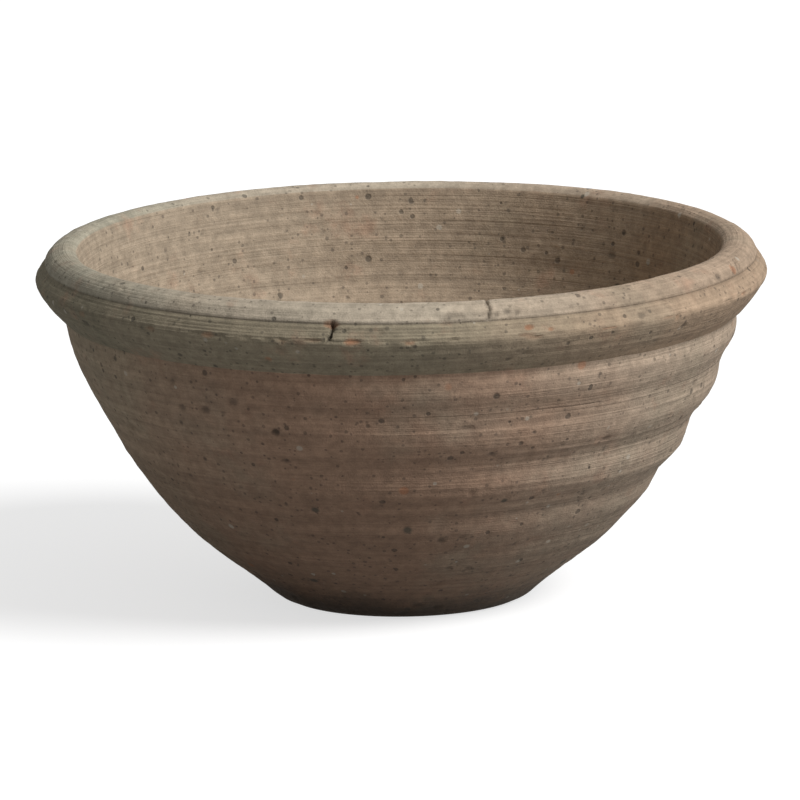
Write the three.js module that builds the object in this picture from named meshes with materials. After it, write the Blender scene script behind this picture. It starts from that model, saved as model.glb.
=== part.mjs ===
import * as THREE from 'three';

// Driving dimensions in millimetres. +Z is up and the photographed side faces -Y.
const rimRadius = 140;
const rimHeight = 124.5;
const footRadius = 47;
const footBevel = 1.5;
const wallThickness = 10;
const floorThickness = 10;

// The collar, measured from its lower edge, which is the widest line of the bowl.
const collarOverhang = 11.4;
const collarUnderside = 14.5;
const collarThickness = 10.5;
const collarTopInset = 4;
const collarFaceHeight = 6.1;

// The lip, measured inwards from the same line and upwards from the top of the collar.
const lipPeakInset = 12.5;
const lipRise = 6.1;
const lipInnerInset = 17.1;
const lipInnerDrop = 2.1;

// The neck, where the wall meets the collar.
const neckRadius = rimRadius - collarOverhang;
const neckHeight = rimHeight - collarUnderside;

// Throwing ridges: one crest for each wall course, deepest on the right of the photograph.
const ridgePitch = 21.5;
const ridgeDepth = 2;
const topCrestDrop = 7;
const topCrestHeight = neckHeight - topCrestDrop;
const ridgeStartHeight = 30;
const ridgeSide = THREE.MathUtils.degToRad(-30);

// Luted joints drop towards the inside of the bowl.
const seamDrop = 3;

// Turned grooves on the face of the collar.
const grooveCount = 5;
const grooveDepth = 0.35;

// How far the curved stretches of the rim stand off their chords.
const undersideBulge = 1;
const lipOuterBulge = 1.75;
const lipInnerBulge = 0.5;
const boreBulge = 0.65;

// How fine the faceted solids are.
const segments = 60;
const courseSteps = 6;
const bowSteps = 4;
const slopeStep = 0.5;

// Shape of the wall from the foot to the neck: share of the height, share of the flare.
const wallShape = [[0, 0], [0.091, 0.146], [0.236, 0.396], [0.455, 0.647],
  [0.673, 0.825], [0.855, 0.948], [1, 1]];

function smoothStep(value) {
  return THREE.MathUtils.smoothstep(value, 0, 1);
}

function shapeSlope(index) {
  const before = wallShape[Math.max(index - 1, 0)];
  const after = wallShape[Math.min(index + 1, wallShape.length - 1)];
  return (after[1] - before[1]) / (after[0] - before[0]);
}

// Radius of the wall's outside at a height, as a smooth curve through the shape's points.
function outerRadius(height) {
  const share = THREE.MathUtils.clamp(height / neckHeight, 0, 1);
  let index = 0;
  while (index < wallShape.length - 2 && share > wallShape[index + 1][0]) {
    index += 1;
  }
  const [start, low] = wallShape[index];
  const [end, high] = wallShape[index + 1];
  const span = end - start;
  const t = (share - start) / span;
  const flare = low * (2 * t ** 3 - 3 * t ** 2 + 1) + high * (3 * t ** 2 - 2 * t ** 3)
    + span * shapeSlope(index) * (t ** 3 - 2 * t ** 2 + t)
    + span * shapeSlope(index + 1) * (t ** 3 - t ** 2);
  return footRadius + (neckRadius - footRadius) * flare;
}

// Radius of the wall's inside, one wall thickness in from the outside.
function innerRadius(height) {
  const rise = outerRadius(height + slopeStep) - outerRadius(height - slopeStep);
  const slope = rise / (2 * slopeStep);
  return outerRadius(height) - wallThickness * Math.hypot(1, slope);
}

// How far a throwing ridge lifts the outside of the wall at a height.
function ridgeLift(height) {
  const wave = Math.cos((2 * Math.PI * (height - topCrestHeight)) / ridgePitch);
  const fromBelow = smoothStep((height - ridgeStartHeight) / ridgePitch);
  const fromAbove = smoothStep((4 * (neckHeight - height)) / ridgePitch);
  return 0.5 * ridgeDepth * wave * fromBelow * fromAbove;
}

function outsidePoint(height) {
  return { radius: outerRadius(height), height, lift: ridgeLift(height) };
}

function insidePoint(height) {
  return { radius: innerRadius(height), height, lift: 0 };
}

function point(radius, height) {
  return { radius, height, lift: 0 };
}

// Points after the first one of a curve that stands off its chord, to the right of travel.
function bow(from, to, bulge, steps) {
  const across = to.radius - from.radius;
  const up = to.height - from.height;
  const length = Math.hypot(across, up);
  const middle = point(
    (from.radius + to.radius) / 2 + (2 * bulge * up) / length,
    (from.height + to.height) / 2 - (2 * bulge * across) / length,
  );
  const made = [];
  for (let step = 1; step <= steps; step += 1) {
    const t = step / steps;
    const weights = [(1 - t) ** 2, 2 * t * (1 - t), t ** 2];
    const mix = (key) => weights[0] * from[key] + weights[1] * middle[key] + weights[2] * to[key];
    made.push(point(mix('radius'), mix('height')));
  }
  return made;
}

function placed(spot, angle) {
  const side = 0.5 + 0.5 * Math.cos(angle - ridgeSide);
  const radius = spot.radius + spot.lift * side;
  return [radius * Math.cos(angle), radius * Math.sin(angle), spot.height];
}

// A closed solid turned from a closed outline that runs anticlockwise, radius to the right.
// The diagonal of a facet depends on its corners alone, so luted faces match exactly.
function turned(name, outline, colour) {
  const positions = [];
  const indices = [];
  const rows = outline.map((spot) => {
    const onAxis = spot.radius === 0;
    const first = positions.length / 3;
    const count = onAxis ? 1 : segments;
    for (let turn = 0; turn < count; turn += 1) {
      positions.push(...placed(spot, (2 * Math.PI * turn) / segments));
    }
    return (turn) => first + (onAxis ? 0 : turn % segments);
  });
  const addFace = (a, b, c) => {
    if (a !== b && b !== c && c !== a) {
      indices.push(a, b, c);
    }
  };
  outline.forEach((spot, place) => {
    const next = (place + 1) % outline.length;
    const other = outline[next];
    const rises = spot.radius < other.radius
      || (spot.radius === other.radius && spot.height < other.height);
    if (spot.radius === 0 && other.radius === 0) {
      return;
    }
    for (let turn = 0; turn < segments; turn += 1) {
      const a = rows[place](turn);
      const b = rows[place](turn + 1);
      const c = rows[next](turn + 1);
      const d = rows[next](turn);
      if (rises) {
        addFace(a, b, c);
        addFace(a, c, d);
      } else {
        addFace(a, b, d);
        addFace(b, c, d);
      }
    }
  });
  const geometry = new THREE.BufferGeometry();
  geometry.setAttribute('position', new THREE.Float32BufferAttribute(positions, 3));
  geometry.setIndex(indices);
  geometry.computeVertexNormals();
  const material = new THREE.MeshStandardMaterial({ color: colour, roughness: 0.9 });
  const mesh = new THREE.Mesh(geometry, material);
  mesh.name = name;
  return mesh;
}

// The flat pad that the wall is built on.
function baseDisc() {
  return turned('base_disc', [
    point(0, 0),
    point(footRadius - footBevel, 0),
    outsidePoint(footBevel),
    outsidePoint((footBevel + floorThickness) / 2),
    outsidePoint(floorThickness),
    insidePoint(floorThickness),
    point(0, floorThickness),
  ], 0x4a3a30);
}

// One course of the wall, from its lower joint to its upper joint.
function wallCourse(name, bottom, top, bottomDrop) {
  const outline = [];
  for (let step = 0; step <= courseSteps; step += 1) {
    outline.push(outsidePoint(bottom + ((top - bottom) * step) / courseSteps));
  }
  const innerTop = top - seamDrop;
  const innerBottom = bottom - bottomDrop;
  outline.push(insidePoint(innerTop));
  outline.push(insidePoint((innerTop + innerBottom) / 2));
  outline.push(insidePoint(innerBottom));
  return turned(name, outline, 0x6f5645);
}

// Heights of the joints between the courses, one in each groove below the top crest.
function courseJoints() {
  const joints = [];
  let height = topCrestHeight - ridgePitch / 2;
  while (height > floorThickness + ridgePitch / 2) {
    joints.unshift(height);
    height -= ridgePitch;
  }
  return [floorThickness, ...joints, neckHeight];
}

function wallCourses() {
  const joints = courseJoints();
  return joints.slice(1).map((top, index) => {
    const drop = index === 0 ? 0 : seamDrop;
    return wallCourse(`wall_course_${index + 1}`, joints[index], top, drop);
  });
}

const collarFoot = point(neckRadius, neckHeight);
const collarSeat = point(rimRadius - collarThickness, rimHeight);
const collarEdge = point(rimRadius, rimHeight);
const collarTop = point(rimRadius - collarTopInset, rimHeight + collarFaceHeight);

// The lip that carries on from the wall and rolls over the top of the collar.
function lipRing() {
  const peak = point(rimRadius - lipPeakInset, collarTop.height + lipRise);
  const innerEdge = point(rimRadius - lipInnerInset, peak.height - lipInnerDrop);
  const boreEnd = insidePoint(neckHeight - seamDrop);
  return turned('lip_ring', [
    collarFoot,
    collarSeat,
    collarTop,
    ...bow(collarTop, peak, lipOuterBulge, bowSteps),
    ...bow(peak, innerEdge, lipInnerBulge, bowSteps),
    ...bow(innerEdge, boreEnd, boreBulge, bowSteps).slice(0, -1),
    boreEnd,
  ], 0x9a8f80);
}

// The grooved band luted round the outside of the lip.
function rimCollar() {
  const across = collarTop.radius - collarEdge.radius;
  const up = collarTop.height - collarEdge.height;
  const length = Math.hypot(across, up);
  const face = [];
  for (let step = 1; step < 2 * grooveCount; step += 1) {
    const share = step / (2 * grooveCount);
    const depth = step % 2 === 1 ? grooveDepth : 0;
    face.push(point(
      collarEdge.radius + across * share - (depth * up) / length,
      collarEdge.height + up * share + (depth * across) / length,
    ));
  }
  return turned('rim_collar', [
    collarFoot,
    ...bow(collarFoot, collarEdge, undersideBulge, bowSteps).slice(0, -1),
    collarEdge,
    ...face,
    collarTop,
    collarSeat,
  ], 0x7d6a58);
}

const bowl = new THREE.Group();
bowl.name = 'earthenware_bowl';
bowl.add(baseDisc(), ...wallCourses(), lipRing(), rimCollar());

export default bowl;
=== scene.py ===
import math

import bpy
import numpy as np
from mathutils import Matrix, Vector


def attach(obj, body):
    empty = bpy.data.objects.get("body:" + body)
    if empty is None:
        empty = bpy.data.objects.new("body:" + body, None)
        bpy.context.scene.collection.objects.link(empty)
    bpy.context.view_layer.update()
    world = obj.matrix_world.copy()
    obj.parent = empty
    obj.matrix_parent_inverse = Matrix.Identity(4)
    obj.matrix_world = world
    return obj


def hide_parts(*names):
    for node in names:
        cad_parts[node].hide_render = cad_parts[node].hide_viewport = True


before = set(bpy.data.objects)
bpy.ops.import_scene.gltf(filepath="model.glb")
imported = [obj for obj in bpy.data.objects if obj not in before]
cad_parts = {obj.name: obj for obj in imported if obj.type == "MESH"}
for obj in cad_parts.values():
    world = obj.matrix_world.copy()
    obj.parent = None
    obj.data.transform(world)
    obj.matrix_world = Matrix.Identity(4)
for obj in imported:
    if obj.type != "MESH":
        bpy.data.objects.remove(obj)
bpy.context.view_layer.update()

# Driving dimensions in millimetres and degrees, the same as in the solids.
RIM_RADIUS = 140.0
RIM_HEIGHT = 124.5
FOOT_RADIUS = 47.0
FOOT_BEVEL = 1.5
WALL_THICKNESS = 10.0
FLOOR_THICKNESS = 10.0

# The collar, measured from its lower edge, which is the widest line of the bowl.
COLLAR_OVERHANG = 11.4
COLLAR_UNDERSIDE = 14.5
COLLAR_THICKNESS = 10.5
COLLAR_TOP_INSET = 4.0
COLLAR_FACE_HEIGHT = 6.1

# The lip, measured inwards from the same line and upwards from the top of the collar.
LIP_PEAK_INSET = 12.5
LIP_RISE = 6.1
LIP_INNER_INSET = 17.1
LIP_INNER_DROP = 2.1

# The neck, where the wall meets the collar.
NECK_RADIUS = RIM_RADIUS - COLLAR_OVERHANG
NECK_HEIGHT = RIM_HEIGHT - COLLAR_UNDERSIDE

# Throwing ridges, deepest on the right of the photograph.
RIDGE_PITCH = 21.5
RIDGE_DEPTH = 2.0
TOP_CREST_DROP = 7.0
TOP_CREST_HEIGHT = NECK_HEIGHT - TOP_CREST_DROP
RIDGE_START_HEIGHT = 30.0
RIDGE_SIDE = -30.0

# Joints between the courses drop towards the inside of the bowl.
SEAM_DROP = 3.0

# How far the curved stretches of the rim stand off their chords.
UNDERSIDE_BULGE = 1.0
LIP_OUTER_BULGE = 1.75
LIP_INNER_BULGE = 0.5
BORE_BULGE = 0.65
SLOPE_STEP = 0.5

# Shape of the wall from the foot to the neck: share of the height, share of the flare.
WALL_SHARES = np.array([0, 0.091, 0.236, 0.455, 0.673, 0.855, 1])
WALL_FLARES = np.array([0, 0.146, 0.396, 0.647, 0.825, 0.948, 1])

# How fine the meshes are: facets round the bowl, and millimetres between rows.
SEGMENTS = 960
WALL_ROW = 0.9
COLLAR_ROW = 0.4
LIP_ROW = 0.6
BORE_ROW = 1.0
INSIDE_ROW = 1.8
FLAT_ROW = 3.0

SEED = 41
MM = 0.001

# Thin raised lines that the potter's fingers left on the wall: height, lift.
FINGER_LINES = ((60.0, 0.22), (75.8, 0.34), (98.0, 0.26), (86.5, 0.14), (52.6, 0.14))
FINGER_LINE_WIDTH = 0.75

# Lumps and turning marks: how many round the bowl, how tall, how high, and a seed.
LUMPS = (
    (9, 34, 0.34, 2),
    (31, 12, 0.16, 3),
    (97, 5.5, 0.09, 4),
    (240, 3.0, 0.07, 5),
    (13, 2.4, 0.09, 6),
    (29, 1.9, 0.06, 7),
)

# Turned grooves on the collar, a little deeper than in the solids and clearest at one angle.
GROOVE_COUNT = 5
GROOVE_DEPTH = 0.4
GROOVE_MIDDLE = -100.0
GROOVE_SPREAD = 42.0

# Wear that runs along the collar: depth and half width.
TOP_LINE = (0.45, 0.55)
EDGE_CRUMBLE = (0.75, 1.1)
EDGE_ROUNDING = (0.5, 0.8)

# Cracks: where they start and end (angle, line round the bowl, distance from that line), half
# width, depth, how far they wander, a seed and how much painted shade darkens them.
CRACKS = (
    ((-101.2, "edge", -0.5), (-100.8, "lip", 0.8), 0.75, 0.9, 0.05, 12, 0.9),
    ((-76.3, "lip", 0.3), (-75.4, "bore", 1.0), 0.7, 0.6, 0.06, 13, 0.7),
    ((-22.0, "lip", 1.5), (-21.0, "lip", 6.0), 0.6, 0.45, 0.07, 14, 0.6),
    ((-20.3, "lip", 1.5), (-19.3, "lip", 6.0), 0.6, 0.45, 0.07, 15, 0.6),
    ((-19.1, "lip", 1.5), (-18.1, "lip", 6.0), 0.6, 0.45, 0.07, 16, 0.6),
)

# Chips and pits in the rim: angle, line round the bowl, distance from that line, half width,
# half height, depth, how much painted shade darkens them and how freshly broken they are.
RIM_DENTS = (
    (-101.0, "lip", 0.0, 3.2, 1.6, 0.8, 0.2, 0.7),
    (-97.6, "edge", 0.0, 3.4, 1.7, 0.9, 0.0, 0.9),
    (-82.0, "lip", 1.2, 5.2, 3.0, 0.75, 0.35, 0.0),
    (-83.4, "lip", 0.4, 2.2, 1.5, 0.5, 0.4, 0.0),
    (-74.8, "lip", 2.2, 1.2, 1.2, 0.5, 0.6, 0.0),
    (-73.1, "lip", 3.4, 1.5, 1.5, 0.5, 0.6, 0.0),
    (-71.4, "lip", 2.6, 1.1, 1.1, 0.5, 0.6, 0.0),
    (-72.4, "lip", 5.6, 0.9, 0.9, 0.5, 0.6, 0.0),
    (-70.0, "edge", 3.6, 2.0, 1.3, 0.6, 0.0, 0.8),
    (-66.5, "edge", 2.2, 1.3, 0.9, 0.5, 0.0, 0.6),
)

# Pits in the wall: angle, height, half width, half height, depth and how much painted shade darkens
# them.
WALL_DENTS = (
    (-113.0, 85.5, 1.9, 1.5, 1.2, 1.0),
    (-112.6, 73.0, 2.4, 1.0, 0.4, 0.7),
)

# Scattered wear: crumbs lost from the collar's lower edge, and small pits all over.
CRUMB_COUNT = 44
PIT_COUNT = 620

# Edges sharper than this many degrees stay crisp.
CRISP_ANGLE = 55.0

CAMERA_DISTANCE = 4.0
CAMERA_ELEVATION = 11.519
CAMERA_ROLL = 0.823
CAMERA_LENS = 470.8
CAMERA_SENSOR = 36.0
CAMERA_REACH = 100.0
CAMERA_SHIFT = (-0.00326, 0.03108)
AIM_HEIGHT = 0.065

SUN_AZIMUTH = -30.0
SUN_ELEVATION = 40.0
SUN_STRENGTH = 3.0
SUN_SOFTNESS = 28.0
FILL_LEVEL = 0.3

# The ground: metres across, metres below the bowl, the share of light that it throws back, and
# how bright it looks by the light on it and by itself.
FLOOR_SIZE = 30.0
FLOOR_GAP = 0.0002
FLOOR_BOUNCE = 0.3
FLOOR_TONE = 0.5
FLOOR_GLOW = 0.66


def smooth(value):
    value = np.clip(value, 0, 1)
    return value * value * (3 - 2 * value)


def outer_radius(height):
    """Radius of the wall's outside at a height."""
    share = np.clip(np.asarray(height, float) / NECK_HEIGHT, 0, 1)
    slopes = np.empty(len(WALL_SHARES))
    slopes[1:-1] = (WALL_FLARES[2:] - WALL_FLARES[:-2]) / (WALL_SHARES[2:] - WALL_SHARES[:-2])
    slopes[0] = WALL_FLARES[1] / WALL_SHARES[1]
    slopes[-1] = (WALL_FLARES[-1] - WALL_FLARES[-2]) / (WALL_SHARES[-1] - WALL_SHARES[-2])
    index = np.clip(np.searchsorted(WALL_SHARES, share) - 1, 0, len(WALL_SHARES) - 2)
    span = WALL_SHARES[index + 1] - WALL_SHARES[index]
    t = (share - WALL_SHARES[index]) / span
    flare = WALL_FLARES[index] * (2 * t**3 - 3 * t**2 + 1)
    flare += WALL_FLARES[index + 1] * (3 * t**2 - 2 * t**3)
    flare += span * slopes[index] * (t**3 - 2 * t**2 + t)
    flare += span * slopes[index + 1] * (t**3 - t**2)
    return FOOT_RADIUS + (NECK_RADIUS - FOOT_RADIUS) * flare


def inner_radius(height):
    """Radius of the wall's inside, one wall thickness in from the outside."""
    slope = (outer_radius(height + SLOPE_STEP) - outer_radius(height - SLOPE_STEP)) / (2 * SLOPE_STEP)
    return outer_radius(height) - WALL_THICKNESS * np.hypot(1, slope)


def ridge_lift(height):
    """How far a throwing ridge lifts the wall at a height."""
    wave = np.cos(2 * np.pi * (height - TOP_CREST_HEIGHT) / RIDGE_PITCH)
    from_below = smooth((height - RIDGE_START_HEIGHT) / RIDGE_PITCH)
    from_above = smooth(4 * (NECK_HEIGHT - height) / RIDGE_PITCH)
    return 0.5 * RIDGE_DEPTH * wave * from_below * from_above


def steps_for(length, row):
    return max(1, math.ceil(length / row))


def line(start, end, row):
    """Points from start up to, but not at, end."""
    start, end = np.array(start, float), np.array(end, float)
    count = steps_for(np.linalg.norm(end - start), row)
    return [start + (end - start) * k / count for k in range(count)]


def bow(start, end, bulge, row):
    """The same along a curve that stands off its chord, to the right of travel."""
    start, end = np.array(start, float), np.array(end, float)
    across, up = end - start
    length = math.hypot(across, up)
    middle = (start + end) / 2 + 2 * bulge * np.array([up, -across]) / length
    count = steps_for(length, row)
    shares = [k / count for k in range(count)]
    return [(1 - t) ** 2 * start + 2 * t * (1 - t) * middle + t**2 * end for t in shares]


def wall_run(radius_at, start, end, row):
    count = steps_for(1.25 * abs(end - start), row)
    heights = [start + (end - start) * k / count for k in range(count)]
    return [np.array([float(radius_at(h)), h]) for h in heights]


def course_joints():
    joints = []
    height = TOP_CREST_HEIGHT - RIDGE_PITCH / 2
    while height > FLOOR_THICKNESS + RIDGE_PITCH / 2:
        joints.insert(0, height)
        height -= RIDGE_PITCH
    return [FLOOR_THICKNESS, *joints, NECK_HEIGHT]


def skin_outline():
    """The whole skin's outline, from the middle of the underside over the lip to the floor."""
    points, marks = [], {}

    def lay(mark, run):
        marks[mark] = len(points)
        points.extend(run)

    joints = course_joints()
    edge = (RIM_RADIUS, RIM_HEIGHT)
    top = (RIM_RADIUS - COLLAR_TOP_INSET, RIM_HEIGHT + COLLAR_FACE_HEIGHT)
    peak = (RIM_RADIUS - LIP_PEAK_INSET, top[1] + LIP_RISE)
    inner = (RIM_RADIUS - LIP_INNER_INSET, peak[1] - LIP_INNER_DROP)
    bore_end = (float(inner_radius(NECK_HEIGHT - SEAM_DROP)), NECK_HEIGHT - SEAM_DROP)
    bevel = (float(outer_radius(FOOT_BEVEL)), FOOT_BEVEL)
    lay("under", line((0, 0), (FOOT_RADIUS - FOOT_BEVEL, 0), FLAT_ROW))
    lay("bevel", line((FOOT_RADIUS - FOOT_BEVEL, 0), bevel, COLLAR_ROW))
    lay("foot", wall_run(outer_radius, FOOT_BEVEL, FLOOR_THICKNESS, WALL_ROW))
    for k, (low, high) in enumerate(zip(joints, joints[1:])):
        lay(f"outside_{k + 1}", wall_run(outer_radius, low, high, WALL_ROW))
    lay("collar", bow((NECK_RADIUS, NECK_HEIGHT), edge, UNDERSIDE_BULGE, LIP_ROW))
    lay("edge", line(edge, top, COLLAR_ROW))
    lay("lip", bow(top, peak, LIP_OUTER_BULGE, LIP_ROW))
    lay("peak", bow(peak, inner, LIP_INNER_BULGE, LIP_ROW))
    lay("bore", bow(inner, bore_end, BORE_BULGE, BORE_ROW))
    drops = [0] + [SEAM_DROP] * (len(joints) - 1)
    for k in reversed(range(len(joints) - 1)):
        start, end = joints[k + 1] - drops[k + 1], joints[k] - drops[k]
        lay(f"inside_{k + 1}", wall_run(inner_radius, start, end, INSIDE_ROW))
    floor_corner = (float(inner_radius(FLOOR_THICKNESS)), FLOOR_THICKNESS)
    lay("floor", line(floor_corner, (0, FLOOR_THICKNESS), FLAT_ROW))
    lay("end", [np.array([0.0, FLOOR_THICKNESS])])
    return np.array(points), marks


def lattice_noise(turn, along, around, tall, seed):
    """Smooth noise from -1 to 1 that closes on itself round the bowl."""
    rows = int(along.max() / tall) + 3
    table = np.random.default_rng(SEED + seed).uniform(-1, 1, (rows, around))
    u, v = turn * around, along / tall
    column, row = np.floor(u).astype(int), np.floor(v).astype(int)
    fu, fv = smooth(u - column)[None, :], smooth(v - row)[:, None]
    near, far = column % around, (column + 1) % around
    low = table[np.ix_(row, near)] * (1 - fu) + table[np.ix_(row, far)] * fu
    high = table[np.ix_(row + 1, near)] * (1 - fu) + table[np.ix_(row + 1, far)] * fu
    return low * (1 - fv) + high * fv


class Skin:
    """The relief of the whole skin on a grid of rows along the outline and steps round it."""

    def __init__(self):
        self.outline, self.marks = skin_outline()
        self.radius, self.height = self.outline.T
        gaps = np.linalg.norm(np.diff(self.outline, axis=0), axis=1)
        self.along = np.concatenate([[0], np.cumsum(gaps)])
        travel = np.gradient(self.outline, axis=0)
        travel /= np.linalg.norm(travel, axis=1)[:, None]
        self.normal = np.stack([travel[:, 1], -travel[:, 0]], axis=1)
        self.turn = np.arange(SEGMENTS) / SEGMENTS
        self.angle = 360 * self.turn - 180
        self.lift = np.zeros((len(self.along), SEGMENTS))
        self.painted_hollow_shade = np.zeros_like(self.lift)
        self.chip = np.zeros_like(self.lift)

    def at(self, mark):
        return self.along[self.marks[mark]]

    def along_wall(self, height):
        first, last = self.marks["bevel"], self.marks["collar"]
        return float(np.interp(height, self.height[first:last], self.along[first:last]))

    def off_angle(self, angle):
        return (self.angle - angle + 180) % 360 - 180

    def dent(self, angle, along, half_width, half_height, depth, dark=0.0, fresh=0.0):
        """A shallow hollow: half sizes and depth in millimetres; dark sets the painted shade in it."""
        first, last = np.searchsorted(self.along, [along - half_height, along + half_height])
        if last <= first:
            return
        rows = slice(first, last)
        sideways = np.radians(self.off_angle(angle))[None, :] * self.radius[rows, None] / half_width
        upward = (self.along[rows, None] - along) / half_height
        shape = np.clip(1 - sideways**2 - upward**2, 0, 1)
        self.lift[rows] -= depth * shape**0.6
        # Painted shade in the hollow.
        self.painted_hollow_shade[rows] = np.maximum(self.painted_hollow_shade[rows], dark * shape**0.5)
        self.chip[rows] = np.maximum(self.chip[rows], fresh * shape**0.5)

    def crack(self, start, end, half_width, depth, wander, seed, dark):
        """A chain of small hollows from one (angle, along) to another."""
        chance = np.random.default_rng(SEED + seed)
        count = steps_for(abs(end[1] - start[1]), 0.45)
        drift = np.cumsum(chance.normal(0, wander, count + 1))
        for k in range(count + 1):
            share = k / count
            angle = start[0] + (end[0] - start[0]) * share + drift[k]
            along = start[1] + (end[1] - start[1]) * share
            size = half_width * chance.uniform(0.8, 1.25)
            self.dent(angle, along, size, size, depth * chance.uniform(0.7, 1.1), dark)

    def rows_between(self, first, last):
        inside = np.zeros(len(self.along))
        inside[self.marks[first] : self.marks[last]] = 1
        return inside[:, None]

    def band(self, along, half_width):
        """Fades from 1 on a line round the bowl to 0 beside it."""
        return np.exp(-(((self.along[:, None] - along) / half_width) ** 2))


def shape_throwing(skin):
    """Ridges, finger lines, lumps and turning marks."""
    side = 0.5 + 0.5 * np.cos(np.radians(skin.angle - RIDGE_SIDE))
    wall = skin.rows_between("bevel", "collar")
    skin.lift += wall * ridge_lift(skin.height)[:, None] * side
    wobble = 0.7 * lattice_noise(skin.turn, skin.along * 0, 7, 10, 1)
    for number, (height, lift) in enumerate(FINGER_LINES):
        off = (skin.height[:, None] + wobble - height) / FINGER_LINE_WIDTH
        fade = 0.55 + 0.45 * lattice_noise(skin.turn, skin.along * 0, 11, 10, 20 + number)
        skin.lift += wall * lift * np.exp(-(off**2)) * side**2 * fade
    calm = smooth((skin.height[:, None] - 0.2) / 4) * (1 - skin.rows_between("under", "bevel"))
    outside = 1 - skin.rows_between("floor", "end")
    for around, tall, size, seed in LUMPS:
        skin.lift += calm * outside * size * lattice_noise(skin.turn, skin.along, around, tall, seed)


def shape_collar(skin):
    """Turned grooves, a crisp upper line and a crumbled lower edge, with painted shade in the grooves
    and along the upper line.
    """
    edge, top = skin.at("edge"), skin.at("lip")
    share = (skin.along[:, None] - edge) / (top - edge)
    share = share + 0.04 * lattice_noise(skin.turn, skin.along * 0, 9, 10, 8)
    face = skin.rows_between("edge", "lip")
    strength = 0.35 + 0.65 * np.exp(-((skin.off_angle(GROOVE_MIDDLE) / GROOVE_SPREAD) ** 2))
    groove = 0.5 - 0.5 * np.cos(2 * np.pi * GROOVE_COUNT * share)
    broken = 0.7 + 0.3 * lattice_noise(skin.turn, skin.along, 60, 1.5, 9)
    skin.lift -= face * GROOVE_DEPTH * groove * strength * broken
    # Painted shade in the grooves.
    skin.painted_hollow_shade = np.maximum(skin.painted_hollow_shade, 0.28 * face * groove * strength * broken)
    depth, half_width = TOP_LINE
    skin.lift -= depth * skin.band(top, half_width) * (0.7 + 0.3 * strength)
    # Painted shade along the upper line.
    skin.painted_hollow_shade = np.maximum(skin.painted_hollow_shade, 0.5 * skin.band(top, half_width / 1.4) * strength)
    crumble = lattice_noise(skin.turn, skin.along * 0, 230, 10, 10)
    crumble = crumble + 0.7 * lattice_noise(skin.turn, skin.along * 0, 90, 10, 11)
    crumble = np.clip(crumble - 0.15, 0, 1.4)
    depth, half_width = EDGE_CRUMBLE
    skin.lift -= depth * crumble * skin.band(edge, half_width)
    depth, half_width = EDGE_ROUNDING
    skin.lift -= depth * skin.band(edge, half_width)


def shape_damage(skin):
    """Cracks, chips, broken patches and pits, where the photograph shows them or scattered."""
    for start, end, half_width, depth, wander, seed, dark in CRACKS:
        ends = [(angle, skin.at(mark) + off) for angle, mark, off in (start, end)]
        skin.crack(*ends, half_width, depth, wander, seed, dark)
    for angle, mark, off, *shape in RIM_DENTS:
        skin.dent(angle, skin.at(mark) + off, *shape)
    for angle, height, *shape in WALL_DENTS:
        skin.dent(angle, skin.along_wall(height), *shape)
    edge = skin.at("edge")
    chance = np.random.default_rng(SEED + 30)
    for _ in range(CRUMB_COUNT):
        angle, along = chance.uniform(-180, 180), edge + chance.normal(0, 0.6)
        width = chance.uniform(1.2, 4.2)
        fresh = chance.choice([0.0, 0.25, 0.5])
        skin.dent(angle, along, width, chance.uniform(0.8, 1.7), chance.uniform(0.3, 0.8), fresh=fresh)
    first, last = skin.at("bevel"), skin.at("floor")
    for _ in range(PIT_COUNT):
        angle, along = chance.uniform(-180, 180), chance.uniform(first, last)
        size = 0.75 + 1.2 * chance.random() ** 4
        depth, dark = chance.uniform(0.15, 0.4) * size, chance.choice([0.0, 0.3, 0.6])
        skin.dent(angle, along, size * chance.uniform(1, 1.5), size, depth, dark=dark)


def skin_places(skin):
    """Where every point of the grid is, in metres."""
    radius = skin.radius[:, None] + skin.normal[:, :1] * skin.lift
    height = skin.height[:, None] + skin.normal[:, 1:] * skin.lift
    height = np.maximum(height, 0)
    radius = np.where(skin.radius[:, None] == 0, 0, radius)
    angle = np.radians(skin.angle)[None, :]
    places = np.stack([radius * np.cos(angle), radius * np.sin(angle), height], axis=2)
    return places * MM


def seat_ring():
    """The hidden corner where the lip and the collar meet."""
    angle = np.radians(360 * np.arange(SEGMENTS) / SEGMENTS - 180)
    radius = RIM_RADIUS - COLLAR_THICKNESS
    height = np.full(SEGMENTS, RIM_HEIGHT)
    return np.stack([radius * np.cos(angle), radius * np.sin(angle), height], axis=1) * MM


def closed_faces(on_axis):
    """Faces of a closed turned body, one strip for each pair of neighbouring rows."""
    starts, total = [], 0
    for alone in on_axis:
        starts.append(total)
        total += 1 if alone else SEGMENTS
    step = np.arange(SEGMENTS)
    after = (step + 1) % SEGMENTS
    faces = []
    for row, alone in enumerate(on_axis):
        other = (row + 1) % len(on_axis)
        first, second = starts[row], starts[other]
        if alone and on_axis[other]:
            continue
        if alone:
            centre = np.full(SEGMENTS, first)
            faces += np.stack([centre, second + after, second + step], axis=1).tolist()
        elif on_axis[other]:
            centre = np.full(SEGMENTS, second)
            faces += np.stack([first + step, first + after, centre], axis=1).tolist()
        else:
            strip = [first + step, first + after, second + after, second + step]
            faces += np.stack(strip, axis=1).tolist()
    return faces


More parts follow.
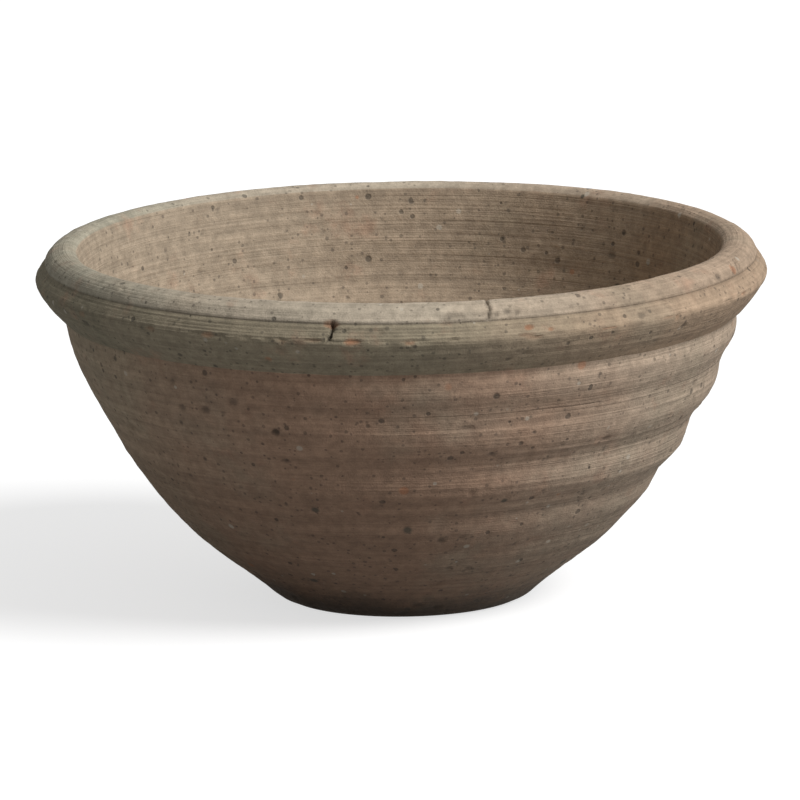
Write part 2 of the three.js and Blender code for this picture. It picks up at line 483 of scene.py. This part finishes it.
def build_piece(name, skin, places, spans, material, seat_after=None):
    """A closed body from spans of the skin's rows, with the seat ring after one of them."""
    tables = {"along": skin.along[:, None] * MM + 0 * skin.lift}
    inside = skin.rows_between("bore", "end")
    inside[-1] = 1
    tables["inside"] = inside + 0 * skin.lift
    tables["painted_hollow_shade"], tables["chip"] = skin.painted_hollow_shade, skin.chip
    corners, on_axis = [], []
    values = {key: [] for key in tables}
    for number, (first, last) in enumerate(spans):
        for row in range(first, last + 1):
            alone = skin.radius[row] == 0
            keep = slice(0, 1 if alone else SEGMENTS)
            on_axis.append(alone)
            corners.append(places[row, keep])
            for key, table in tables.items():
                values[key].append(table[row, keep])
        if number == seat_after:
            on_axis.append(False)
            corners.append(seat_ring())
            for key in tables:
                values[key].append(np.zeros(SEGMENTS))
    mesh = bpy.data.meshes.new(name)
    mesh.from_pydata(np.concatenate(corners).tolist(), [], closed_faces(on_axis))
    for key, rows in values.items():
        data = np.concatenate(rows).astype(np.float32)
        mesh.attributes.new(key, "FLOAT", "POINT").data.foreach_set("value", data)
    mesh.polygons.foreach_set("use_smooth", [True] * len(mesh.polygons))
    mesh.set_sharp_from_angle(angle=math.radians(CRISP_ANGLE))
    mesh.materials.append(material)
    piece = bpy.data.objects.new(name, mesh)
    bpy.context.scene.collection.objects.link(piece)
    return piece


class Shade:
    """Short names for building a material's nodes."""

    def __init__(self, name):
        self.material = bpy.data.materials.new(name)
        self.material.use_nodes = True
        self.tree = self.material.node_tree
        self.surface = self.tree.nodes["Principled BSDF"]

    def node(self, kind, inputs=None, **settings):
        made = self.tree.nodes.new(kind)
        for key, value in settings.items():
            setattr(made, key, value)
        for key, value in (inputs or {}).items():
            self.put(made.inputs[key], value)
        return made

    def put(self, socket, value):
        if isinstance(value, bpy.types.NodeSocket):
            self.tree.links.new(value, socket)
        elif isinstance(value, tuple) and len(value) == 3 and len(socket.default_value) == 4:
            socket.default_value = (*value, 1.0)
        else:
            socket.default_value = value

    def math(self, operation, a, b=0.0):
        return self.node("ShaderNodeMath", {0: a, 1: b}, operation=operation).outputs[0]

    def mix(self, factor, a, b, blend="MIX"):
        settings = {"data_type": "RGBA", "blend_type": blend}
        return self.node("ShaderNodeMix", {0: factor, 6: a, 7: b}, **settings).outputs[2]

    def remap(self, value, low, high, to_low=0.0, to_high=1.0):
        inputs = {0: value, 1: low, 2: high, 3: to_low, 4: to_high}
        return self.node("ShaderNodeMapRange", inputs, interpolation_type="SMOOTHSTEP").outputs[0]

    def noise(self, vector, scale, detail, rough):
        inputs = {"Vector": vector, "Scale": scale, "Detail": detail, "Roughness": rough}
        return self.node("ShaderNodeTexNoise", inputs).outputs[0]

    def cells(self, vector, scale):
        made = self.node("ShaderNodeTexVoronoi", {"Vector": vector, "Scale": scale})
        chance = self.node("ShaderNodeSeparateColor", {0: made.outputs["Color"]})
        return made.outputs["Distance"], chance.outputs

    def attribute(self, name):
        return self.node("ShaderNodeAttribute", attribute_name=name).outputs["Fac"]

    def stretched(self, vector, x, y, z):
        inputs = {0: vector, 1: (x, y, z)}
        return self.node("ShaderNodeVectorMath", inputs, operation="MULTIPLY").outputs[0]


# Noise in the clay: features in a metre, detail and roughness.
CLOUD = (17.0, 4.0, 0.6)
PATCH = (62.0, 4.0, 0.65)
MOTTLE = (240.0, 3.0, 0.6)
GRAIN = (1500.0, 3.0, 0.7)

# Rings left by turning: features in a metre across and along the skin, then roughness.
BROAD_RINGS = (7.0, 260.0, 0.55)
FINE_RINGS = (11.0, 900.0, 0.7)
RING_DETAIL = 2.0

# Grains in the clay: cells in a metre, largest size as a share of a cell, share of the cells
# that hold one, softness, how strongly they show, and colour.
GRAINS = {
    "fine": (520.0, 0.5, 0.3, 0.35, 0.45, "speck_and_hollow_shade"),
    "small": (230.0, 0.36, 0.2, 0.35, 0.6, "speck_and_hollow_shade"),
    "large": (85.0, 0.2, 0.2, 0.5, 0.75, "grit"),
    "pale": (260.0, 0.4, 0.07, 0.35, 0.5, "pale"),
    "rust": (120.0, 0.3, 0.05, 0.35, 0.5, "rust"),
}


def rings(shade, place, look):
    across, along, rough = look
    squeezed = shade.stretched(place, across, across, along)
    return shade.noise(squeezed, 1.0, RING_DETAIL, rough)


def specks(shade, place, scale, radius, share, soft):
    """A mask of scattered round grains: a share of the cells hold one."""
    distance, chance = shade.cells(place, scale)
    size = shade.math("MULTIPLY", chance[1], radius)
    edge = shade.math("MULTIPLY", size, 1 - soft)
    grain = shade.node(
        "ShaderNodeMapRange", {0: distance, 1: edge, 2: size, 3: 1.0, 4: 0.0}
    ).outputs[0]
    kept = shade.math("LESS_THAN", chance[0], share)
    return shade.math("MULTIPLY", grain, kept)


def clay(name, look):
    """Unglazed weathered clay. look holds its colours from the left to the right of the bowl, which on
    the wall and collar also carry painted shade and painted light.
    """
    shade = Shade(name)
    place = shade.node("ShaderNodeTexCoord").outputs["Object"]
    axes = shade.node("ShaderNodeSeparateXYZ", {0: place}).outputs
    along = shade.attribute("along")
    rings_at = shade.node("ShaderNodeCombineXYZ", {0: axes[0], 1: axes[1], 2: along}).outputs[0]

    cloud = shade.noise(place, *CLOUD)
    patch = shade.noise(place, *PATCH)
    mottle = shade.noise(place, *MOTTLE)
    grain = shade.noise(place, *GRAIN)
    broad_rings = rings(shade, rings_at, BROAD_RINGS)
    fine_rings = rings(shade, rings_at, FINE_RINGS)

    drift = shade.math("MULTIPLY", shade.math("SUBTRACT", cloud, 0.5), 0.16)
    side = shade.math("ADD", axes[0], drift)
    # The side colours blend here, with their painted shade and painted light.
    to_middle = shade.remap(side, -0.13, -0.045)
    to_right = shade.remap(side, 0.0, 0.115)
    outside = shade.mix(to_middle, look["left"], look["middle"])
    outside = shade.mix(to_right, outside, look["right"])
    within = shade.mix(shade.remap(side, -0.1, 0.03), look["inside_left"], look["inside_middle"])
    within = shade.mix(shade.remap(side, 0.02, 0.12), within, look["inside_right"])
    colour = shade.mix(shade.attribute("inside"), outside, within)

    colour = shade.mix(shade.remap(cloud, 0.5, 0.72, 0.0, 0.5), colour, look["cloud"])
    colour = shade.mix(shade.remap(patch, 0.55, 0.75, 0.0, 0.45), colour, look["blush"])
    tone = shade.remap(mottle, 0.25, 0.75, 0.82, 1.17)
    tone = shade.math("MULTIPLY", tone, shade.remap(broad_rings, 0.3, 0.7, 0.9, 1.09))
    tone = shade.math("MULTIPLY", tone, shade.remap(fine_rings, 0.25, 0.75, 0.9, 1.09))
    tone = shade.math("MULTIPLY", tone, shade.remap(grain, 0.2, 0.8, 0.86, 1.12))
    # Darker towards the bottom.
    rising = shade.remap(axes[2], 0.0, 0.09, look["foot_tone"], 1.0)
    tone = shade.math("MULTIPLY", tone, rising)
    grey_tone = shade.node("ShaderNodeCombineColor", {0: tone, 1: tone, 2: tone}).outputs[0]
    colour = shade.mix(1.0, colour, grey_tone, "MULTIPLY")

    grains = {}
    for kind, (scale, size, share, soft, shows, tint) in GRAINS.items():
        grains[kind] = specks(shade, place, scale, size, share, soft)
        colour = shade.mix(shade.math("MULTIPLY", grains[kind], shows), colour, look[tint])
    colour = shade.mix(shade.math("MULTIPLY", shade.attribute("chip"), 0.75), colour, look["rust"])
    # Painted shade darkens hollows, cracks, pits and the collar's grooves and upper line.
    colour = shade.mix(shade.math("MULTIPLY", shade.attribute("painted_hollow_shade"), 0.8), colour, look["speck_and_hollow_shade"])
    # A near-black band along the bottom of the outside.
    ragged = shade.math("MULTIPLY", shade.math("SUBTRACT", patch, 0.5), 0.02)
    dark_foot_band = shade.remap(shade.math("ADD", axes[2], ragged), 0.002, 0.016, 0.75, 0.0)
    dark_foot_band = shade.math("MULTIPLY", dark_foot_band, shade.math("SUBTRACT", 1.0, shade.attribute("inside")))
    colour = shade.mix(dark_foot_band, colour, look["dark_foot_band"])

    relief = shade.math("MULTIPLY", grain, 0.35)
    relief = shade.math("ADD", relief, shade.math("MULTIPLY", mottle, 0.5))
    relief = shade.math("ADD", relief, shade.math("MULTIPLY", fine_rings, 0.6))
    relief = shade.math("ADD", relief, shade.math("MULTIPLY", broad_rings, 0.3))
    relief = shade.math("SUBTRACT", relief, shade.math("MULTIPLY", grains["small"], 0.35))
    bump = shade.node("ShaderNodeBump", {"Height": relief, "Distance": 0.0009, "Strength": 0.75})

    shade.put(shade.surface.inputs["Base Color"], colour)
    shade.put(shade.surface.inputs["Roughness"], shade.remap(mottle, 0.2, 0.8, 0.86, 0.97))
    shade.surface.inputs["Specular IOR Level"].default_value = 0.2
    shade.put(shade.surface.inputs["Normal"], bump.outputs[0])
    return shade.material


# Colours of the fired clay, as shares of red, green and blue light given back.
# The side colours of the wall and collar also hold painted shade and painted light.
WALL_LOOK = {
    "left": (0.36, 0.29, 0.205),
    # Darker and redder in the middle: partly the clay's own colour, partly painted shade.
    "middle": (0.37, 0.24, 0.165),
    "right": (0.43, 0.335, 0.25),
    "inside_left": (0.40, 0.32, 0.235),
    # Raised with painted light.
    "inside_middle": (0.39, 0.30, 0.215),
    # Darker with painted shade.
    "inside_right": (0.33, 0.235, 0.155),
    "cloud": (0.33, 0.275, 0.20),
    "blush": (0.42, 0.25, 0.17),
    "speck_and_hollow_shade": (0.045, 0.042, 0.036),
    "grit": (0.05, 0.058, 0.048),
    "pale": (0.58, 0.53, 0.44),
    "rust": (0.42, 0.17, 0.08),
    "dark_foot_band": (0.06, 0.052, 0.042),
    "foot_tone": 0.72,
}
COLLAR_LOOK = {
    **WALL_LOOK,
    # Darker on the left with painted shade.
    "left": (0.25, 0.22, 0.155),
    "middle": (0.32, 0.27, 0.19),
    "right": (0.40, 0.29, 0.20),
}
LIP_LOOK = {
    **WALL_LOOK,
    "left": (0.38, 0.35, 0.27),
    "middle": (0.46, 0.39, 0.30),
    "right": (0.43, 0.32, 0.23),
}
BASE_LOOK = {**WALL_LOOK, "foot_tone": 0.6}


def build_bowl():
    skin = Skin()
    shape_throwing(skin)
    shape_collar(skin)
    shape_damage(skin)
    places = skin_places(skin)
    marks = skin.marks
    wall = clay("wall_clay", WALL_LOOK)
    base = clay("base_clay", BASE_LOOK)
    lip = clay("lip_clay", LIP_LOOK)
    collar = clay("collar_clay", COLLAR_LOOK)
    count = len(course_joints()) - 1
    made = {}

    spans = [(marks["under"], marks["outside_1"]), (marks["floor"], marks["end"])]
    made["base_disc"] = build_piece("clay_base_disc", skin, places, spans, base)
    for k in range(1, count + 1):
        above = marks["collar"] if k == count else marks[f"outside_{k + 1}"]
        below = marks["floor"] if k == 1 else marks[f"inside_{k - 1}"]
        spans = [(marks[f"outside_{k}"], above), (marks[f"inside_{k}"], below)]
        name = f"wall_course_{k}"
        made[name] = build_piece(f"clay_{name}", skin, places, spans, wall)
    spans = [(marks["collar"], marks["collar"]), (marks["lip"], marks[f"inside_{count}"])]
    made["lip_ring"] = build_piece("clay_lip_ring", skin, places, spans, lip, 0)
    spans = [(marks["collar"], marks["lip"])]
    made["rim_collar"] = build_piece("clay_rim_collar", skin, places, spans, collar, 0)
    for node, piece in made.items():
        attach(piece, "root")
        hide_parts(node)


def build_floor():
    bpy.ops.mesh.primitive_plane_add(size=FLOOR_SIZE, location=(0, 0, -FLOOR_GAP))
    floor = bpy.context.object
    floor.name = "studio_floor"
    shade = Shade("studio_floor")
    tree = shade.tree
    tree.nodes.remove(shade.surface)
    seen = shade.node("ShaderNodeLightPath").outputs
    direct = shade.math("MAXIMUM", seen["Is Camera Ray"], seen["Is Glossy Ray"])
    direct = shade.math("MAXIMUM", direct, seen["Is Transmission Ray"])
    plain = shade.node("ShaderNodeBsdfDiffuse", {"Color": (FLOOR_BOUNCE,) * 3})
    lit = shade.node("ShaderNodeBsdfDiffuse", {"Color": (FLOOR_TONE,) * 3})
    glow = shade.node("ShaderNodeEmission", {"Color": (1.0, 1.0, 1.0), "Strength": FLOOR_GLOW})
    both = shade.node("ShaderNodeAddShader", {0: lit.outputs[0], 1: glow.outputs[0]})
    inputs = {0: direct, 1: plain.outputs[0], 2: both.outputs[0]}
    blend = shade.node("ShaderNodeMixShader", inputs)
    tree.links.new(blend.outputs[0], tree.nodes["Material Output"].inputs["Surface"])
    floor.data.materials.append(shade.material)


def build_light():
    sun = bpy.data.lights.new("key", "SUN")
    sun.energy = SUN_STRENGTH
    sun.angle = math.radians(SUN_SOFTNESS)
    lamp = bpy.data.objects.new("key", sun)
    bpy.context.scene.collection.objects.link(lamp)
    azimuth, elevation = math.radians(SUN_AZIMUTH), math.radians(SUN_ELEVATION)
    flat = math.cos(elevation)
    towards = Vector((flat * math.cos(azimuth), flat * math.sin(azimuth), math.sin(elevation)))
    lamp.rotation_euler = towards.to_track_quat("Z", "Y").to_euler()

    world = bpy.data.worlds.new("studio")
    bpy.context.scene.world = world
    world.use_nodes = True
    tree = world.node_tree
    fill = tree.nodes["Background"]
    fill.inputs["Color"].default_value = (1.0, 1.0, 1.0, 1.0)
    fill.inputs["Strength"].default_value = FILL_LEVEL
    white = tree.nodes.new("ShaderNodeBackground")
    white.inputs["Strength"].default_value = 1.0
    path = tree.nodes.new("ShaderNodeLightPath")
    blend = tree.nodes.new("ShaderNodeMixShader")
    tree.links.new(path.outputs["Is Camera Ray"], blend.inputs[0])
    tree.links.new(fill.outputs[0], blend.inputs[1])
    tree.links.new(white.outputs[0], blend.inputs[2])
    tree.links.new(blend.outputs[0], tree.nodes["World Output"].inputs["Surface"])
    white.inputs["Color"].default_value = (1.0, 1.0, 1.0, 1.0)


def build_camera():
    data = bpy.data.cameras.new("camera")
    data.lens = CAMERA_LENS
    data.sensor_width = CAMERA_SENSOR
    data.shift_x, data.shift_y = CAMERA_SHIFT
    data.clip_end = CAMERA_REACH
    camera = bpy.data.objects.new("camera", data)
    bpy.context.scene.collection.objects.link(camera)
    elevation = math.radians(CAMERA_ELEVATION)
    back = -CAMERA_DISTANCE * math.cos(elevation)
    up = AIM_HEIGHT + CAMERA_DISTANCE * math.sin(elevation)
    tilt = Matrix.Rotation(math.pi / 2 - elevation, 4, "X")
    roll = Matrix.Rotation(math.radians(-CAMERA_ROLL), 4, "Z")
    camera.matrix_world = Matrix.Translation((0, back, up)) @ tilt @ roll
    bpy.context.scene.camera = camera


build_bowl()
build_floor()
build_light()
build_camera()
bpy.context.scene.view_settings.view_transform = "Standard"
